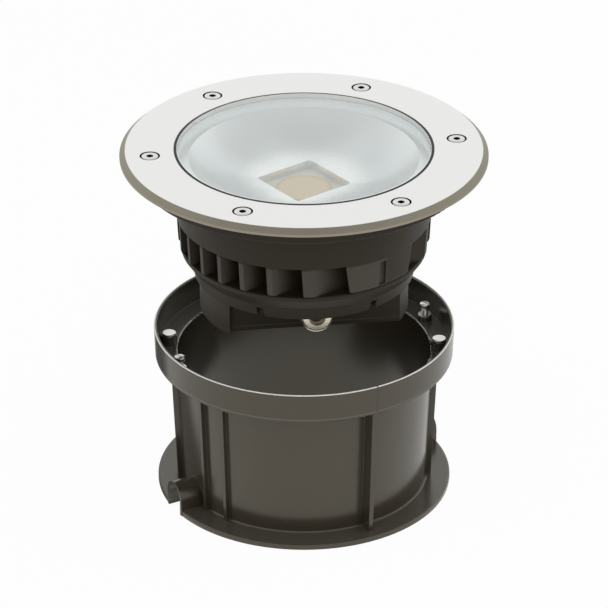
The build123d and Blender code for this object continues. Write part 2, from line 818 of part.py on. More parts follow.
# Retaining screws, backed off, and the washers that lie on their bosses
with BuildPart() as clamp_washers:
    for turn in clamp_places:
        with BuildSketch(level(clamp_boss_top, turn)):
            with Locations((clamp_r, 0)):
                Circle(clamp_washer_r)
                Circle(clamp_shank_r + slide_gap, mode=Mode.SUBTRACT)
        extrude(amount=clamp_washer_t)
hand_in(clamp_washers, "clamp_washers")

clamp_head_z = clamp_boss_top + clamp_washer_t + clamp_back_off
with BuildPart() as clamp_screws:
    for turn in clamp_places:
        with BuildSketch(level(clamp_head_z, turn)):
            with Locations((clamp_r, 0)):
                Circle(clamp_head_r)
        extrude(amount=clamp_head_h)
    head_tops = clamp_screws.edges().filter_by(GeomType.CIRCLE).group_by(Axis.Z)[-1]
    fillet(head_tops, clamp_head_h / 3)
    for turn in clamp_places:
        with BuildSketch(level(clamp_head_z, turn)):
            with Locations((clamp_r, 0)):
                Circle(clamp_shank_r)
        extrude(amount=ledge_z - ledge_floor_t - clamp_head_z)
        with BuildSketch(level(clamp_head_z + clamp_head_h, turn)):
            with Locations((clamp_r, 0)):
                Rectangle(clamp_slot_w, 2 * clamp_head_r)
        extrude(amount=-clamp_slot_d, mode=Mode.SUBTRACT)
hand_in(clamp_screws, "clamp_screws")
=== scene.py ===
# %% [markdown]
# # An in-ground light, lifted out of its pot
#
# The object has two halves. The luminaire is a steel trim and a flush glass over a dark die-cast
# housing with cooling fins. The pot is the plastic tub that stays in the ground. The solids come in
# at their real size and place, so this script only gives them their surfaces and the small details
# that solids leave out. Everything is in metres, with +Z up and the middle of the pot's underside
# at zero.

# %% Load the solids
import math

import bmesh
import bpy
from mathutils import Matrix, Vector


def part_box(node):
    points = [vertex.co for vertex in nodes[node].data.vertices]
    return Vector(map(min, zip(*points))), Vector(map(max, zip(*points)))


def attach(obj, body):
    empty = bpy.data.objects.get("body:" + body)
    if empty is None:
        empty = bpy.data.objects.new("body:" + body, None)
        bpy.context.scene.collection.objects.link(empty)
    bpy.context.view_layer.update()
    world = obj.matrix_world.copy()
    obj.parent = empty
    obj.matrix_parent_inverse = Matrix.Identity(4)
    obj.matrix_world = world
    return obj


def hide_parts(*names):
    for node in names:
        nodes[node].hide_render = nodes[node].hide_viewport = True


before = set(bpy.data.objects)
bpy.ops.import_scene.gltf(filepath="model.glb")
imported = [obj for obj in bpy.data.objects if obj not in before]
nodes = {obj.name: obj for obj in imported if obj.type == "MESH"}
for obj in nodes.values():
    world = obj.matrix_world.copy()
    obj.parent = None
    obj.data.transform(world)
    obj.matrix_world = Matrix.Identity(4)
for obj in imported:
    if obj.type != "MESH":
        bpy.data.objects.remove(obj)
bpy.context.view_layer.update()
mm = 0.001

# %% [markdown]
# ## Camera
#
# The picture was taken from well back with a long lens, so upright edges stay nearly parallel. A
# short lens close by could frame the object as well, but it would spread those edges. So the camera
# gets a real focal length and a real distance. It stands a little to the left of the gland, and
# looks down on the middle of the object.

# %% Place the camera
camera_at = Vector((-0.2627, -1.9957, 1.1997))
camera_aim = Vector((0.0, 0.0, 0.125))

camera_data = bpy.data.cameras.new("camera")
camera_data.sensor_width = 36.0
camera_data.lens = 212.0
camera = bpy.data.objects.new("camera", camera_data)
camera.location = camera_at
camera.rotation_euler = (camera_aim - camera_at).to_track_quat("-Z", "Y").to_euler()
bpy.context.scene.collection.objects.link(camera)
bpy.context.scene.camera = camera
print("the camera stands", round((camera_aim - camera_at).length, 3), "m away")

# %% [markdown]
# ## Shader sums in plain Python
#
# A shader tree can be drawn by hand, node by node, but then the idea gets lost among the links.
# This small class wraps one socket, so that a sum such as `1 - mask` adds its own Math node. Its
# `node` method adds any other node: the settings first, then the values or links of the sockets.


# %% A wire that can be added and multiplied
class Wire:
    """One shader socket. Sums and products of wires add Math nodes to their material."""

    def __init__(self, socket):
        self.socket = socket

    def node(self, kind, inputs, out=0, **settings):
        """Adds a node to this wire's tree and gives the wire of one of its outputs."""
        tree = self.socket.id_data
        made = tree.nodes.new(kind)
        for name, value in settings.items():
            setattr(made, name, value)
        for key, value in inputs.items():
            if isinstance(value, Wire):
                tree.links.new(value.socket, made.inputs[key])
            else:
                made.inputs[key].default_value = value
        return Wire(made.outputs[out]) if len(made.outputs) else None

    def maths(self, operation, first, second=0.0):
        return self.node("ShaderNodeMath", {0: first, 1: second}, operation=operation)

    def __add__(self, other):
        return self.maths("ADD", self, other)

    def __sub__(self, other):
        return self.maths("SUBTRACT", self, other)

    def __rsub__(self, other):
        return self.maths("SUBTRACT", other, self)

    def __mul__(self, other):
        return self.maths("MULTIPLY", self, other)

    __radd__ = __add__
    __rmul__ = __mul__

    def size(self):
        """The number without its sign."""
        return self.maths("ABSOLUTE", self)

    def mix(self, low, high):
        """The colour between two colours, with this wire as the factor."""
        return self.node("ShaderNodeMix", {0: self, 6: low, 7: high}, out=2, data_type="RGBA")

    def rise(self, start, end):
        """0 below start and 1 above end, with a smooth step between."""
        limits = {"Value": self, "From Min": start, "From Max": end}
        return self.node("ShaderNodeMapRange", limits, interpolation_type="SMOOTHSTEP")

    def noise(self, scale, detail=2.0):
        """Cloudy noise over this place, from 0 to 1."""
        return self.node("ShaderNodeTexNoise", {"Vector": self, "Scale": scale, "Detail": detail})

    def stretched(self, x, y, z):
        """This place with its axes scaled."""
        return self.node("ShaderNodeVectorMath", {0: self, 1: (x, y, z)}, operation="MULTIPLY")

    def axes(self):
        """x, y and z of this place, as three wires."""
        split = self.node("ShaderNodeSeparateXYZ", {"Vector": self})
        return [Wire(socket) for socket in split.socket.node.outputs]


print("wires ready")

# %% [markdown]
# ## Steps that all finishes share
#
# Each finish starts from Object coordinates, which stay put when the object moves or is looked at
# from another side. Most end in one Principled shader. No real edge is perfectly sharp. The edges
# of the solids could be bevelled, but their meshes stay as they are, so the normal is rounded there
# instead, before a fine relief is added to it.


# %% Start and end of a finish
def start_finish(name):
    """A new material, and the wire of its Object coordinates."""
    material = bpy.data.materials.new(name)
    material.use_nodes = True
    material.node_tree.nodes.clear()
    place = Wire(material.node_tree.nodes.new("ShaderNodeTexCoord").outputs["Object"])
    return material, place


def end_finish(material, place, inputs):
    """Ends the material with one Principled shader that has these inputs."""
    shader = place.node("ShaderNodeBsdfPrincipled", inputs)
    place.node("ShaderNodeOutputMaterial", {"Surface": shader})
    return material


def radius_of(place):
    """Distance from the upright axis."""
    x, y, _ = place.axes()
    return place.maths("SQRT", x * x + y * y)


def rounded_bump(place, height, depth, edge):
    """A normal with the edges rounded off and a fine relief of this depth."""
    soft = place.node("ShaderNodeBevel", {"Radius": edge}, samples=4)
    return place.node("ShaderNodeBump", {"Height": height, "Distance": depth, "Normal": soft})


def light_path(place, *kinds):
    """1 for rays of these kinds, 0 for others."""
    path = place.node("ShaderNodeLightPath", {}).socket.node.outputs
    total = Wire(path[kinds[0]])
    for kind in kinds[1:]:
        total = place.maths("MAXIMUM", total, Wire(path[kind]))
    return total


print("shared steps ready")

# %% [markdown]
# ## Paper floor
#
# The object stands on white paper. A white floor could be burnt out with strong lamps, but that
# would burn out the steel too. Here the paper shows white to the camera, to reflections and through
# glass, and keeps a small share of its real shading, so that a faint shadow stays. One long dark
# patch of painted shade lies on the paper behind the pot on its left. Only reflections see it, and
# it gives the pot's left wall its dark streak.

# %% Lay the paper
floor_half = 3.0
floor_z = -0.1 * mm
paper_low = (0.86, 0.86, 0.86, 1)
paper_high = (0.90, 0.90, 0.90, 1)
paper_share = 0.96
shade_patch_at = (-0.09, 0.03)
shade_patch_turn = math.radians(120.0)
shade_patch_l = 0.25
shade_patch_r = 0.07
shade_patch_core = 0.6
shade_patch_level = 0.12
white = (1, 1, 1, 1)


def shade_patch_mask(place):
    """1 in the patch of painted shade, which is long and has round ends, and 0 outside it."""
    x, y, _ = place.axes()
    x, y = x - shade_patch_at[0], y - shade_patch_at[1]
    ahead_x, ahead_y = math.cos(shade_patch_turn), math.sin(shade_patch_turn)
    along = place.maths("MINIMUM", x * ahead_x + y * ahead_y, shade_patch_l)
    along = place.maths("MAXIMUM", along, 0.0)
    x, y = x - along * ahead_x, y - along * ahead_y
    return 1 - place.maths("SQRT", x * x + y * y).rise(shade_patch_core * shade_patch_r, shade_patch_r)


def paper_finish():
    material, place = start_finish("white_paper")
    seen = light_path(place, "Is Camera Ray", "Is Transmission Ray")
    shown = place.maths("MAXIMUM", seen, light_path(place, "Is Glossy Ray"))
    # Reflections see painted shade in the patch on the paper.
    level = 1 - (1 - shade_patch_level) * shade_patch_mask(place) * (1 - seen)
    grain = place.noise(400.0).mix(paper_low, paper_high)
    paper = place.node("ShaderNodeBsdfDiffuse", {"Color": grain})
    glow = place.node("ShaderNodeEmission", {"Color": white, "Strength": level})
    both = place.node("ShaderNodeMixShader", {0: shown * paper_share, 1: paper, 2: glow})
    place.node("ShaderNodeOutputMaterial", {"Surface": both})
    return material


floor_mesh = bpy.data.meshes.new("floor")
corners = [(-floor_half, -floor_half, floor_z), (floor_half, -floor_half, floor_z)]
corners += [(floor_half, floor_half, floor_z), (-floor_half, floor_half, floor_z)]
floor_mesh.from_pydata(corners, [], [(0, 1, 2, 3)])
floor_mesh.materials.append(paper_finish())
floor = bpy.data.objects.new("floor", floor_mesh)
bpy.context.scene.collection.objects.link(floor)
print("paper of", 2 * floor_half, "m")

# %% [markdown]
# ## Studio round the paper
#
# The studio is white to look at. A plain white world would do for that, but it would light things
# just as strongly. Here the world gives a lower level as a lamp, so that dark plastic stays dark.
# In reflections it gets darker overhead, as a ceiling is darker than lit walls, and that keeps the
# bowl of the reflector from glaring.

# %% Light the world
world_light = 0.5
world_shine = 0.98
ceiling_shine = 0.62
ceiling_from, ceiling_to = 0.55, 0.9

world = bpy.data.worlds.new("studio")
world.use_nodes = True
world.node_tree.nodes.clear()
sky = Wire(world.node_tree.nodes.new("ShaderNodeTexCoord").outputs["Generated"])
looked_at = light_path(sky, "Is Camera Ray", "Is Transmission Ray")
mirrored = light_path(sky, "Is Glossy Ray")
overhead = sky.axes()[2].rise(ceiling_from, ceiling_to)
mirror_level = world_shine - (world_shine - ceiling_shine) * overhead
level = world_light + (1 - world_light) * looked_at + (mirror_level - world_light) * mirrored
shine = sky.node("ShaderNodeBackground", {"Color": white, "Strength": level})
sky.node("ShaderNodeOutputWorld", {"Surface": shine})
bpy.context.scene.world = world
bpy.context.scene.view_settings.view_transform = "Standard"
print("world of strength", world_light)

# %% [markdown]
# ## Lamps
#
# Four lamps shape the forms: one above the front, one at each side, and one beside the camera that
# reaches into the pot and between the fins. Small lamps would throw hard shadows, so they are wide.
# Mirrored in the steel they would add to the white studio and burn it out, so they light surfaces
# without showing in reflections.

# %% Set up the lamps
lamp_aim = Vector((0.0, 0.0, 0.12))
lamps = (
    ("top_box", (0.0, -0.9, 1.7), 1.6, 1.1, 5.0),
    ("right_box", (1.6, 0.2, 1.0), 1.9, 1.8, 9.5),
    ("left_box", (-1.6, -0.3, 1.0), 1.9, 1.8, 7.5),
    ("front_box", (0.1, -1.7, 1.0), 1.8, 1.2, 6.5),
)
for name, lamp_at, width, height, watts in lamps:
    lamp = bpy.data.lights.new(name, "AREA")
    lamp.shape = "RECTANGLE"
    lamp.size = width
    lamp.size_y = height
    lamp.energy = watts
    stand = bpy.data.objects.new(name, lamp)
    stand.visible_glossy = False
    stand.location = lamp_at
    stand.rotation_euler = (lamp_aim - Vector(lamp_at)).to_track_quat("-Z", "Y").to_euler()
    bpy.context.scene.collection.objects.link(stand)
print(len(lamps), "lamps")

# %% [markdown]
# ## Brushed steel of the trim
#
# The trim is a stainless ring, brushed in one direction on top and turned on its edge. The strokes
# could come from a picture of steel, but a noise that is stretched a lot along them needs none and
# never repeats. The turned edge is duller and warmer than the top, so its colour follows the
# distance from the axis. The walls of the screw holes are painted dark with depth, as shade.

# %% Trim finish
trim_low, trim_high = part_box("trim_ring")
trim_r = trim_high.x
trim_in_r = 81.25 * mm
trim_top = trim_high.z
trim_edge = 0.25 * mm
bevel_w = 3.5 * mm
steel_low, steel_high = (0.86, 0.86, 0.845, 1), (0.92, 0.92, 0.91, 1)
turned_low, turned_high = (0.28, 0.253, 0.198, 1), (0.345, 0.313, 0.253, 1)
bore_painted_shade = (0.05, 0.048, 0.045, 1)
brush_scale, brush_stretch, brush_depth = 90.0, 40.0, 0.03 * mm


def trim_finish():
    material, place = start_finish("brushed_trim")
    strokes = place.stretched(1.0, brush_stretch, 1.0).noise(brush_scale, detail=4.0)
    cloud = place.noise(25.0)
    _, _, z = place.axes()
    radius = radius_of(place)
    dull = radius.rise(trim_r - bevel_w - 0.1 * mm, trim_r - bevel_w + 0.2 * mm)
    at_hole = radius.rise(trim_in_r + mm, trim_in_r + 2 * mm) * (1 - dull)
    # Painted shade: the walls of the screw holes get darker with depth.
    bore_shade = (1 - z.rise(trim_top - 0.5 * mm, trim_top - 0.2 * mm)) * at_hole
    steel = dull.mix(strokes.mix(steel_low, steel_high), cloud.mix(turned_low, turned_high))
    return end_finish(material, place, {
        "Base Color": bore_shade.mix(steel, bore_painted_shade),
        "Metallic": 1.0,
        "Roughness": 0.30 + 0.12 * strokes + 0.1 * dull,
        "Normal": rounded_bump(place, strokes, brush_depth, trim_edge),
    })


brushed_trim = trim_finish()
print("trim of", round(2 * trim_r / mm, 1), "mm")

# %% [markdown]
# ## Screw steel, nickel, rubber and plastic
#
# Small metal pieces are turned, so their marks run round the piece. The marks could be drawn, but
# at this size a fine cloud of roughness says enough. Rubber is nearly black with a dry surface,
# apart from the paler seal in the gland. These pieces differ only in colour and gloss, so one
# function makes them all.

# %% Finishes of the small pieces
tone_vary = 0.12
grain_depth = 0.02 * mm
small_edge = 0.2 * mm


def plain_finish(name, colour, roughness, metallic=0.0):
    """A finish of one colour with cloudy tone, fine grain and softened edges."""
    material, place = start_finish(name)
    fine = place.noise(900.0)
    darker = tuple(c * (1 - tone_vary) for c in colour) + (1,)
    lighter = tuple(min(c * (1 + tone_vary), 1.0) for c in colour) + (1,)
    return end_finish(material, place, {
        "Base Color": place.noise(60.0, detail=3.0).mix(darker, lighter),
        "Metallic": metallic,
        "Roughness": roughness * (1 - tone_vary) + fine * (2 * tone_vary * roughness),
        "Normal": rounded_bump(place, fine, grain_depth, small_edge),
    })


screw_steel = plain_finish("screw_steel", (0.76, 0.75, 0.72), 0.28, metallic=1.0)
gland_nickel = plain_finish("gland_nickel", (0.80, 0.74, 0.60), 0.24, metallic=1.0)
seal_rubber = plain_finish("seal_rubber", (0.30, 0.265, 0.19), 0.5)
black_rubber = plain_finish("black_rubber", (0.012, 0.012, 0.012), 0.55)
holder_plastic = plain_finish("holder_plastic", (0.62, 0.62, 0.60), 0.45)
board_ceramic = plain_finish("board_ceramic", (0.70, 0.68, 0.62), 0.35)
pad_grey = plain_finish("pad_grey", (0.35, 0.36, 0.38), 0.8)
driver_case = plain_finish("driver_case", (0.05, 0.05, 0.055), 0.5)
terminal_plastic = plain_finish("terminal_plastic", (0.62, 0.62, 0.58), 0.4)
print("nine small finishes")

# %% [markdown]
# ## Glass
#
# The glass is thick, clear and stepped. Real glass bends light, and that makes the bowl below look
# shallower, so for what the camera sees it is a true glass shader. Light on its way to the bowl
# can't be followed through such a shader without noise, so it finds the glass clear. If only the
# rays to the lamps did that, the bowl would get its light twice: once straight, and once more
# through the glass. The upright edge of the glass is ground, so it is pale and scatters light.

# %% Glass finish
glass_r = 79.6 * mm
glass_body = (0.97, 0.985, 0.98, 1)
glass_clear = (0.95, 0.97, 0.96, 1)
ground_low, ground_high = (0.68, 0.685, 0.665, 1), (0.74, 0.745, 0.725, 1)


def glass_finish():
    material, place = start_finish("clear_glass")
    film = place.noise(30.0, detail=3.0)
    glass = place.node("ShaderNodeBsdfPrincipled", {
        "Base Color": glass_body,
        "Roughness": film * 0.02,
        "Transmission Weight": 1.0,
        "IOR": 1.5,
    })
    clear = place.node("ShaderNodeBsdfTransparent", {"Color": glass_clear})
    frost = place.noise(700.0).mix(ground_low, ground_high)
    ground = place.node("ShaderNodeBsdfDiffuse", {"Color": frost})
    seen = light_path(place, "Is Camera Ray", "Is Transmission Ray")
    body = place.node("ShaderNodeMixShader", {0: seen, 1: clear, 2: glass})
    on_edge = radius_of(place).rise(glass_r - 0.2 * mm, glass_r - 0.1 * mm)
    both = place.node("ShaderNodeMixShader", {0: on_edge, 1: body, 2: ground})
    place.node("ShaderNodeOutputMaterial", {"Surface": both})
    return material


clear_glass = glass_finish()
print("glass finish")

# %% [markdown]
# ## Reflector and light source
#
# The reflector is pressed aluminium with a satin anodised skin. Its rim and throat are polished,
# and their paler colour there is also a painted highlight.
# The light source is a round patch of pale phosphor with a yellow rim, on a ceramic board. It could
# glow, but here it is switched off, so it shows its body colour.

# %% Reflector and emitter finishes
throat_in, throat_out = 26 * mm, 46 * mm
bowl_in, bowl_out = 44 * mm, 80 * mm
rim_share = 0.4
satin_low, satin_high = (0.71, 0.725, 0.74, 1), (0.77, 0.785, 0.80, 1)
polish_highlight_white = (0.98, 0.985, 0.99, 1)
emitter_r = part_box("led_emitter")[1].x
dam_w = 1.6 * mm
cream_low, cream_high = (0.70, 0.55, 0.39, 1), (0.78, 0.63, 0.465, 1)
dam_yellow = (0.66, 0.54, 0.32, 1)


def reflector_finish():
    material, place = start_finish("satin_reflector")
    fine = place.noise(1200.0)
    radius = radius_of(place)
    # Paler towards the throat and at the rim: polished aluminium, and partly a painted highlight.
    polish_and_highlight = 1 - radius.rise(throat_in, throat_out) + rim_share * radius.rise(bowl_in, bowl_out)
    satin = place.noise(35.0, detail=3.0).mix(satin_low, satin_high)
    return end_finish(material, place, {
        "Base Color": polish_and_highlight.mix(satin, polish_highlight_white),
        "Metallic": 0.85,
        "Roughness": 0.28 + 0.06 * fine - 0.06 * polish_and_highlight,
        "Normal": rounded_bump(place, fine, 0.01 * mm, 0.3 * mm),
    })


def phosphor_finish():
    material, place = start_finish("phosphor")
    cloud = place.noise(220.0, detail=4.0)
    dam = radius_of(place).rise(emitter_r - dam_w - 0.2 * mm, emitter_r - dam_w)
    return end_finish(material, place, {
        "Base Color": dam.mix(cloud.mix(cream_low, cream_high), dam_yellow),
        "Roughness": 0.42 + 0.1 * cloud,
        "Normal": rounded_bump(place, cloud, 0.04 * mm, small_edge),
    })


satin_reflector = reflector_finish()
phosphor = phosphor_finish()
print("reflector and emitter finishes")

# %% [markdown]
# ## Powder coat of the housing
#
# The housing is die-cast aluminium under a dark, warm grey powder coat. Powder coat has a fine
# orange peel and a satin gloss. The peel could be modelled, but it is so fine that a bump does, and
# the tone drifts a little. The noses of the fins are painted paler than the rest, as painted light
# where they catch the lamps, and their mask follows height and distance from the axis.

# %% Powder coat
fin_low, fin_high = 170.8 * mm, 190.6 * mm
fin_end_x = 40 * mm
nose_r = 79.0 * mm
nose_w = 12 * mm
coat_low, coat_high = (0.018, 0.0140, 0.0093, 1), (0.025, 0.0200, 0.0138, 1)
nose_painted_light = (0.058, 0.051, 0.042, 1)
peel_depth = 0.05 * mm
cast_edge = 0.5 * mm


def coat_finish():
    material, place = start_finish("powder_coat")
    peel = place.noise(700.0)
    x, _, z = place.axes()
    on_fins = z.rise(fin_low, fin_low + mm) * (1 - z.rise(fin_high - mm, fin_high))
    on_fins = on_fins * (1 - x.rise(fin_end_x, fin_end_x + 4 * mm))
    # Painted light: the noses of the fins are made paler where they catch the lamps.
    nose_light = radius_of(place).rise(nose_r - nose_w, nose_r) * on_fins
    grey = place.noise(18.0, detail=3.0).mix(coat_low, coat_high)
    return end_finish(material, place, {
        "Base Color": nose_light.mix(grey, nose_painted_light),
        "Roughness": 0.42 + 0.12 * peel,
        "Specular IOR Level": 0.22,
        "Specular Tint": (1.0, 0.94, 0.82, 1),
        "Normal": rounded_bump(place, peel, peel_depth, cast_edge),
    })


powder_coat = coat_finish()
print("powder coat")

# %% [markdown]
# ## Moulded plastic of the pot
#
# The pot is one large moulding in dark grey plastic with a glossy skin. Its upper lip and the edge
# of the well carry a thin painted highlight. A pale grey lies on the ledge and more thinly on the
# foot: dust, and on the ledge also painted light where the luminaire shades it. The two halves of
# the mould left a fine line on the collar. All of these could be painted by hand, but masks from
# Object coordinates are exact and easy to move. They follow height and distance from the axis for
# lip, edge, ledge and foot, and distance from an upright plane for the line.

# %% Pot finish
pot_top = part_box("recess_pot")[1].z
rim_r = 96.0 * mm
highlight_w, highlight_h, highlight_fade = 1.0 * mm, 0.4 * mm, 0.1 * mm
well_r = 81.0 * mm
well_highlight = 0.75
ledge_z = 94.2 * mm
foot_z = 3.2 * mm
foot_dust = 0.5
collar_h = 20.0 * mm
parting_angle = math.radians(-69.0)
parting_w = 0.45 * mm
pot_low, pot_high = (0.030, 0.0242, 0.0165, 1), (0.039, 0.0322, 0.0230, 1)
dust_and_light_grey = (0.085, 0.079, 0.068, 1)
painted_highlight_pale = (0.80, 0.79, 0.76, 1)
parting_dark = (0.022, 0.020, 0.017, 1)
skin_depth = 0.12 * mm


def highlight_mask(place, radius, z):
    """Where a pale highlight is painted: on the lip and along the edge of the well."""
    lip_r, lip_z = rim_r - highlight_w, pot_top - highlight_h
    outer = radius.rise(lip_r - highlight_fade, lip_r + highlight_fade)
    lip = z.rise(lip_z - highlight_fade, lip_z + highlight_fade) * outer
    off_edge = (z - ledge_z).size() + (radius - well_r).size()
    edge = well_highlight - well_highlight * off_edge.rise(0.5 * mm, 0.8 * mm)
    return place.maths("MAXIMUM", lip, edge)


def flat_band_at(z, height):
    """1 on the level surfaces at this height."""
    return 1 - (z - height).size().rise(0.2 * mm, 0.5 * mm)


def pot_finish():
    material, place = start_finish("pot_plastic")
    skin = place.noise(500.0)
    x, y, z = place.axes()
    across = (x * math.sin(parting_angle) - y * math.cos(parting_angle)).size()
    on_collar = z.rise(pot_top - collar_h, pot_top - collar_h + 0.5 * mm)
    line = (1 - across.rise(0.5 * parting_w, parting_w)) * on_collar
    # Pale grey on the ledge and foot: dust, and on the ledge also painted light where the luminaire
    # shades it.
    dust_and_light = flat_band_at(z, ledge_z) + foot_dust * flat_band_at(z, foot_z)
    grey = place.noise(14.0, detail=3.0).mix(pot_low, pot_high)
    # Painted highlight: a pale line on the lip and along the edge of the well.
    highlit = highlight_mask(place, radius_of(place), z).mix(dust_and_light.mix(grey, dust_and_light_grey), painted_highlight_pale)
    return end_finish(material, place, {
        "Base Color": line.mix(highlit, parting_dark),
        "Roughness": 0.19 + 0.06 * skin,
        "IOR": 1.65,
        "Specular Tint": (1.0, 0.95, 0.80, 1),
        "Normal": rounded_bump(place, skin * 0.1 - line * 2.5, skin_depth, cast_edge),
    })


pot_plastic = pot_finish()
print("pot plastic")

# %% [markdown]
# ## Turned shapes
#
# Round pieces are turned on a lathe, and so they are here: a list of (radius, height) points goes
# round the upright axis. The Screw modifier could do that too, but this function also closes the
# ends. A closed profile makes a ring, and an open one makes a solid with flat ends. A prism is a
# lathe with few sides, set beside the axis.


# %% Lathe and prism
def new_piece(name, mesh):
    piece = bpy.data.objects.new(name, mesh)
    bpy.context.scene.collection.objects.link(piece)
    return piece


def lathe(name, profile, steps, closed=False):
    """A round piece: the profile's (radius, height) points turned about the upright axis."""
    shape = bmesh.new()
    turns = [2 * math.pi * i / steps for i in range(steps)]
    rings = []
    for r, z in profile:
        rings.append([shape.verts.new((r * math.cos(a), r * math.sin(a), z)) for a in turns])
    uppers = rings[1:] + rings[:1] if closed else rings[1:]
    for low, high in zip(rings, uppers):
        for i in range(steps):
            j = (i + 1) % steps
            shape.faces.new((low[i], low[j], high[j], high[i]))
    if not closed:
        shape.faces.new(rings[0][::-1])
        shape.faces.new(rings[-1])
    bmesh.ops.recalc_face_normals(shape, faces=shape.faces)
    mesh = bpy.data.meshes.new(name)
    shape.to_mesh(mesh)
    shape.free()
    return new_piece(name, mesh)


def prism(name, sides, radius, low, high, at=(0.0, 0.0), turn=0.0):
    """An upright prism with this many sides, to cut holes and sockets with."""
    piece = lathe(name, [(radius, low), (radius, high)], sides)
    for vertex in piece.data.vertices:
        x, y, z = vertex.co
        vertex.co = (
            at[0] + x * math.cos(turn) - y * math.sin(turn),
            at[1] + x * math.sin(turn) + y * math.cos(turn),
            z,
        )
    return piece


print("lathe ready")

# %% [markdown]
# ## Cut shapes
#
# Holes and sockets are cut with the Boolean modifier, and a Bevel modifier breaks the edges, as a
# real cutter does. Modifiers could stay live, but `settle` turns them into a plain mesh, so that
# the piece is what it looks like.

# %% Cutter
smooth_below = math.radians(32.0)


def settle(piece):
    """Turns the piece's modifiers into its plain mesh."""
    graph = bpy.context.evaluated_depsgraph_get()
    mesh = bpy.data.meshes.new_from_object(piece.evaluated_get(graph))
    piece.modifiers.clear()
    piece.data = mesh
    return piece


def cut(piece, cutters, edge=0.0):
    """Takes the cutters' shapes out of the piece and breaks its edges."""
    for cutter in cutters:
        step = piece.modifiers.new(cutter.name, "BOOLEAN")
        step.object = cutter
        step.solver = "EXACT"
    if edge:
        step = piece.modifiers.new("edges", "BEVEL")
        step.width = edge
        step.segments = 2
        step.limit_method = "ANGLE"
        step.angle_limit = smooth_below
        step.harden_normals = True
    piece.data.shade_smooth()
    piece.data.set_sharp_from_angle(angle=smooth_below)
    settle(piece)
    for cutter in cutters:
        bpy.data.objects.remove(cutter)
    return piece


print("cutter ready")

# %% [markdown]
# ## Trim ring
#
# The trim lies flat on the housing and carries six counterbored holes. The solid could be dressed
# as it is, but its edges are sharp, and a sharp edge never catches the light. So the ring is turned
# again here, with broken edges and the same sizes.

# %% Turn the trim ring
round_steps, bore_steps, shank_steps = 240, 48, 32
flange_r = 104.1 * mm
edge_h = 1.6 * mm
trim_lip = 0.4 * mm
trim_seat = trim_low.z + trim_lip
screw_count = 6
screw_r = 96.4 * mm
bore_r = 6.35 * mm
shank_hole_r = 3.1 * mm
head_h = 2.8 * mm
screw_turns = [2 * math.pi * i / screw_count for i in range(screw_count)]
screw_spots = [(screw_r * math.cos(a), screw_r * math.sin(a)) for a in screw_turns]

trim_profile = [
    (trim_in_r, trim_seat),
    (flange_r, trim_seat),
    (flange_r, trim_low.z),
    (trim_r, trim_low.z),
    (trim_r, trim_low.z + edge_h),
    (trim_r - bevel_w, trim_top),
    (trim_in_r, trim_top),
]
trim = lathe("steel_trim", trim_profile, round_steps, closed=True)
bore_z, under_z, over_z = trim_top - head_h, trim_low.z - mm, trim_top + mm
cutters = [prism("bore", bore_steps, bore_r, bore_z, over_z, spot) for spot in screw_spots]
for spot in screw_spots:
    cutters.append(prism("shank", shank_steps, shank_hole_r, under_z, trim_top, spot))
cut(trim, cutters, edge=trim_edge)
trim.data.materials.append(brushed_trim)
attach(trim, "luminaire")
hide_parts("trim_ring")
print("trim ring of", len(trim.data.polygons), "faces")

# %% [markdown]
# ## Gasket
#
# The gasket wraps the edge of the glass and shows as a black ring beside the trim. The solid ends
# below the top of the steel, so it would show most at the back. Here the gasket is squeezed, as
# when the trim is screwed down: its lip stands up a little on the glass and slopes down to the
# steel. That makes the ring look wider in front. Below the lip it keeps the solid's section, which
# wraps the step.

# %% Turn the gasket
gasket_low, gasket_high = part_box("glass_gasket")
bead_gap = 0.05 * mm
bead_in = glass_r + bead_gap
bead_out = trim_in_r - bead_gap
lip_h = 0.3 * mm
lip_edge = 0.12 * mm
bead_profile = [
    (bead_in, gasket_low.z),
    (gasket_high.x, gasket_low.z),
    (gasket_high.x, trim_seat),
    (bead_out, trim_seat),
    (bead_out, trim_top - lip_edge),
    (bead_out - lip_edge, trim_top),
    (bead_in + lip_edge, trim_top + lip_h),
    (bead_in, trim_top + lip_h - lip_edge),
]
bead = lathe("gasket_bead", bead_profile, round_steps, closed=True)
cut(bead, [])
bead.data.materials.append(black_rubber)
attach(bead, "luminaire")
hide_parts("glass_gasket")
print("gasket of", len(bead.data.polygons), "faces")

# %% [markdown]
# ## Glass with its ground edge
#
# The visible rim of the glass is one pale band, from its top down to the reflector. In a plain
# stepped solid the eye looks past the step into the dark pocket. A fine groove under the step,
# ground like the edge, carries the band on to the underside. The top is level with the lip of the
# gasket, a fraction of a millimetre above the trim. The rest has the solid's sizes.

# %% Turn the glass
glass_low, glass_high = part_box("front_glass")
shoulder_t = 3.0 * mm
shoulder_top = glass_low.z + shoulder_t
groove_w = 0.3 * mm
groove_roof = 0.2 * mm
groove_top = shoulder_top - groove_roof
glass_bevel = 0.35 * mm
glass_top = trim_top + lip_h
glass_profile = [
    (glass_r, glass_low.z),
    (glass_r, groove_top),
    (glass_r + groove_w, groove_top),
    (glass_r + groove_w, glass_low.z),
    (glass_high.x, glass_low.z),
    (glass_high.x, shoulder_top),
    (glass_r, shoulder_top),
    (glass_r, glass_top - glass_bevel),
    (glass_r - glass_bevel, glass_top),
]
glass = lathe("grooved_glass", glass_profile, round_steps)
cut(glass, [])
glass.data.materials.append(clear_glass)
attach(glass, "luminaire")
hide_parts("front_glass")
print("glass of", len(glass.data.polygons), "faces")

# %% [markdown]
# ## Setting the screws
#
# Screws repeat. They could be copied by hand, but then each change means setting them all again. So
# each kind is modelled once, and a small node tree sets it on a few points. The tree turns each
# copy to face outwards, makes the copies real and gives them their finish. The points carry the
# places, and the tree's inputs say what is set there and how far it is twisted.

# %% The tree that sets fasteners
tree_inputs = (
    ("Points", "NodeSocketGeometry"),
    ("Fastener", "NodeSocketObject"),
    ("Twist", "NodeSocketFloat"),
    ("Finish", "NodeSocketMaterial"),
)


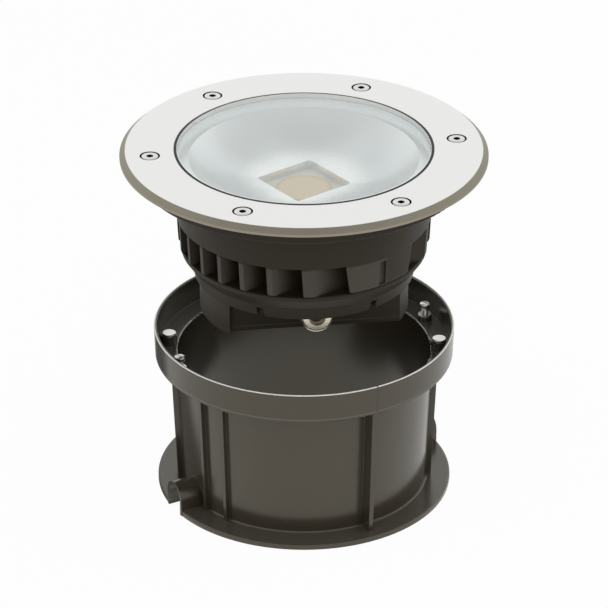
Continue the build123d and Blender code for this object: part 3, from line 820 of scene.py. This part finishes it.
def fastener_tree():
    tree = bpy.data.node_groups.new("set_fasteners", "GeometryNodeTree")
    for name, kind in tree_inputs:
        tree.interface.new_socket(name, in_out="INPUT", socket_type=kind)
    tree.interface.new_socket("Fasteners", in_out="OUTPUT", socket_type="NodeSocketGeometry")
    given = tree.nodes.new("NodeGroupInput").outputs
    spot = tree.nodes.new("GeometryNodeInputPosition")
    split = tree.nodes.new("ShaderNodeSeparateXYZ")
    outwards = tree.nodes.new("ShaderNodeMath")
    outwards.operation = "ARCTAN2"
    twisted = tree.nodes.new("ShaderNodeMath")
    turn = tree.nodes.new("ShaderNodeCombineXYZ")
    model = tree.nodes.new("GeometryNodeObjectInfo")
    copies = tree.nodes.new("GeometryNodeInstanceOnPoints")
    real = tree.nodes.new("GeometryNodeRealizeInstances")
    coat = tree.nodes.new("GeometryNodeSetMaterial")
    result = tree.nodes.new("NodeGroupOutput")
    for source, target in (
        (spot.outputs["Position"], split.inputs["Vector"]),
        (split.outputs["Y"], outwards.inputs[0]),
        (split.outputs["X"], outwards.inputs[1]),
        (outwards.outputs["Value"], twisted.inputs[0]),
        (given["Twist"], twisted.inputs[1]),
        (twisted.outputs["Value"], turn.inputs["Z"]),
        (given["Fastener"], model.inputs["Object"]),
        (given["Points"], copies.inputs["Points"]),
        (model.outputs["Geometry"], copies.inputs["Instance"]),
        (turn.outputs["Vector"], copies.inputs["Rotation"]),
        (copies.outputs["Instances"], real.inputs["Geometry"]),
        (real.outputs["Geometry"], coat.inputs["Geometry"]),
        (given["Finish"], coat.inputs["Material"]),
        (coat.outputs["Geometry"], result.inputs["Fasteners"]),
    ):
        tree.links.new(source, target)
    return tree


set_fasteners = fastener_tree()
print("tree of", len(set_fasteners.nodes), "nodes")


# %% Set copies of a screw
def fasten(name, model, spots, body, node, finish, twist=0.0):
    """Sets copies of a model on spots, as one piece that stands for a CAD node."""
    points = bpy.data.meshes.new(name)
    points.from_pydata(spots, [], [])
    piece = new_piece(name, points)
    step = piece.modifiers.new("fasteners", "NODES")
    step.node_group = set_fasteners
    values = {"Fastener": model, "Twist": twist, "Finish": finish}
    for item in set_fasteners.interface.items_tree:
        if item.in_out == "INPUT" and item.name in values:
            step[item.identifier] = values[item.name]
    settle(piece)
    bpy.data.objects.remove(model)
    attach(piece, body)
    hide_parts(node)
    print(name, "has", len(spots), "copies and", len(piece.data.polygons), "faces")


print("ready to set screws")

# %% [markdown]
# ## Trim screws
#
# The six screws have a low head with a hexagon socket, and lie flush in their counterbores. The
# dark ring round each head is the open gap of the counterbore, with painted shade on its walls. The
# socket could be a dark patch in the finish, but only a real recess looks right from every side. So
# the head is turned, the socket is cut, and its edge is broken. Deep in the socket and down the
# sides the steel is painted dark, as shade.

# %% Finish of the trim screws
head_low, head_high = (0.74, 0.74, 0.72, 1), (0.84, 0.84, 0.82, 1)
socket_painted_shade = (0.06, 0.058, 0.055, 1)
head_edge = 0.15 * mm


def socket_finish():
    material, place = start_finish("socket_steel")
    _, _, z = place.axes()
    cloud = place.noise(60.0, detail=3.0)
    # Painted shade: darker deep in the socket and down the sides of the head.
    socket_shade = 1 - z.rise(trim_top - 0.5 * mm, trim_top - 0.25 * mm)
    return end_finish(material, place, {
        "Base Color": socket_shade.mix(cloud.mix(head_low, head_high), socket_painted_shade),
        "Metallic": 1.0,
        "Roughness": 0.28 + 0.12 * cloud,
        "Normal": rounded_bump(place, cloud, grain_depth, head_edge),
    })


socket_steel = socket_finish()
print("socket steel")

# %% Model and set the trim screws
head_r = 5.25 * mm
crown = 0.45 * mm
shank_r = 3.0 * mm
shank_l = 8.9 * mm
socket_flats = 4.0 * mm
socket_r = socket_flats / math.sqrt(3.0)
socket_d = 1.8 * mm
socket_edge = 0.12 * mm
head_profile = [
    (shank_r, -head_h - shank_l),
    (shank_r, -head_h),
    (head_r, -head_h),
    (head_r, -crown),
    (head_r - 0.12 * mm, -0.16 * mm),
    (head_r - crown, 0.0),
    (0.5 * head_r, 0.0),
]
trim_screw = lathe("trim_screw_model", head_profile, bore_steps)
cut(trim_screw, [prism("socket", 6, socket_r, -socket_d, mm)], edge=socket_edge)
fasten(
    "trim_screw_set", trim_screw, [(x, y, trim_top) for x, y in screw_spots],
    "luminaire", "trim_screws", socket_steel, twist=0.3,
)

# %% [markdown]
# ## Retaining screws
#
# The two retaining screws in the pot stand backed off, so their thread shows. A real thread is a
# helix, but one this fine reads the same as a stack of ridges, so the lathe turns one ridge after
# another. The slot is cut with a bar.


# %% Thread and slot
def ridges(radius, depth, pitch, low, high):
    """Profile of a threaded shank, with one ridge per pitch."""
    points = []
    for i in range(int((high - low) / pitch)):
        points += [(radius - depth, low + i * pitch), (radius, low + (i + 0.5) * pitch)]
    return points + [(radius - depth, high)]


def slot_cutter(name, length, width, low, high):
    """A bar that cuts a screwdriver slot."""
    bar = prism(name, 4, math.sqrt(0.5), low, high, turn=math.radians(45.0))
    for vertex in bar.data.vertices:
        vertex.co.x *= width
        vertex.co.y *= length
    return bar


print("thread and slot ready")

# %% Model and set the retaining screws
clamp_low, clamp_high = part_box("clamp_screws")
clamp_r = 86.2 * mm
clamp_turns = [math.radians(17.0), math.radians(197.0)]
clamp_l = clamp_high.z - clamp_low.z
clamp_head_r = 3.5 * mm
clamp_head_h = 3.0 * mm
clamp_crown = 1.1 * mm
thread_r, thread_d, pitch = 2.0 * mm, 0.3 * mm, 0.7 * mm
slot_l, slot_w, slot_d = 9.0 * mm, 1.0 * mm, 1.0 * mm
small_steps = 40
fine_edge = 0.1 * mm
clamp_profile = ridges(thread_r, thread_d, pitch, -clamp_l, -clamp_head_h) + [
    (clamp_head_r, -clamp_head_h),
    (clamp_head_r, -clamp_crown),
    (clamp_head_r - 0.3 * mm, -0.4 * mm),
    (clamp_head_r - clamp_crown, 0.0),
]
clamp_screw = lathe("clamp_screw_model", clamp_profile, small_steps)
cut(clamp_screw, [slot_cutter("slot", slot_l, slot_w, -slot_d, mm)], edge=fine_edge)
clamp_spots = [(clamp_r * math.cos(a), clamp_r * math.sin(a), clamp_high.z) for a in clamp_turns]
fasten(
    "retaining_screw_set", clamp_screw, clamp_spots,
    "pot", "clamp_screws", screw_steel, twist=0.5,
)

# %% [markdown]
# ## Cover screws
#
# The four screws of the driver box's cover point up into the box, so only their heads show, from
# below. They are turned upside down, with the head at the bottom. They could have a thread like the
# retaining screws, but it would be hidden, so their shanks stay plain.

# %% Model and set the cover screws
cover_low, cover_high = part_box("cover_screws")
cover_r = 60.2 * mm
cover_turns = [math.radians(a) for a in (-20.0, 60.0, 120.0, 200.0)]
cover_head_r = 3.5 * mm
cover_head_h = 2.4 * mm
cover_shank_r = 2.0 * mm
cover_socket_r = 1.7 * mm
cover_socket_d = 1.3 * mm
cover_profile = [
    (cover_head_r - 1.0 * mm, 0.0),
    (cover_head_r - 0.3 * mm, 0.1 * mm),
    (cover_head_r, 0.5 * mm),
    (cover_head_r, cover_head_h),
    (cover_shank_r, cover_head_h),
    (cover_shank_r, cover_high.z - cover_low.z),
]
cover_screw = lathe("cover_screw_model", cover_profile, small_steps)
cut(cover_screw, [prism("socket", 6, cover_socket_r, -mm, cover_socket_d)], edge=fine_edge)
cover_spots = [(cover_r * math.cos(a), cover_r * math.sin(a), cover_low.z) for a in cover_turns]
fasten(
    "cover_screw_set", cover_screw, cover_spots,
    "luminaire", "cover_screws", screw_steel,
)

# %% [markdown]
# ## Dress the solids that keep their shape
#
# The rest of the solids already have the right form. They could be modelled again like the trim,
# but there is nothing to add, so they only get a finish. Assigning to the slots leaves their meshes
# as they are.

# %% Give the other solids their finishes
finishes = {
    "glass_seat_seal": black_rubber,
    "reflector": satin_reflector,
    "led_holder": holder_plastic,
    "holder_screws": screw_steel,
    "thermal_pad": pad_grey,
    "led_board": board_ceramic,
    "led_emitter": phosphor,
    "lamp_housing": powder_coat,
    "box_seal": black_rubber,
    "driver_box": powder_coat,
    "led_driver": driver_case,
    "driver_screws": screw_steel,
    "terminal_block": terminal_plastic,
    "cover_seal": black_rubber,
    "driver_cover": powder_coat,
    "gland_washer": black_rubber,
    "gland_body": gland_nickel,
    "gland_nut": gland_nickel,
    "gland_seal": seal_rubber,
    "gland_lock_nut": gland_nickel,
    "recess_pot": pot_plastic,
    "boss_rivets": screw_steel,
    "clamp_washers": screw_steel,
}
for name, finish in finishes.items():
    for slot in nodes[name].material_slots:
        slot.material = finish
print(len(finishes), "solids dressed")
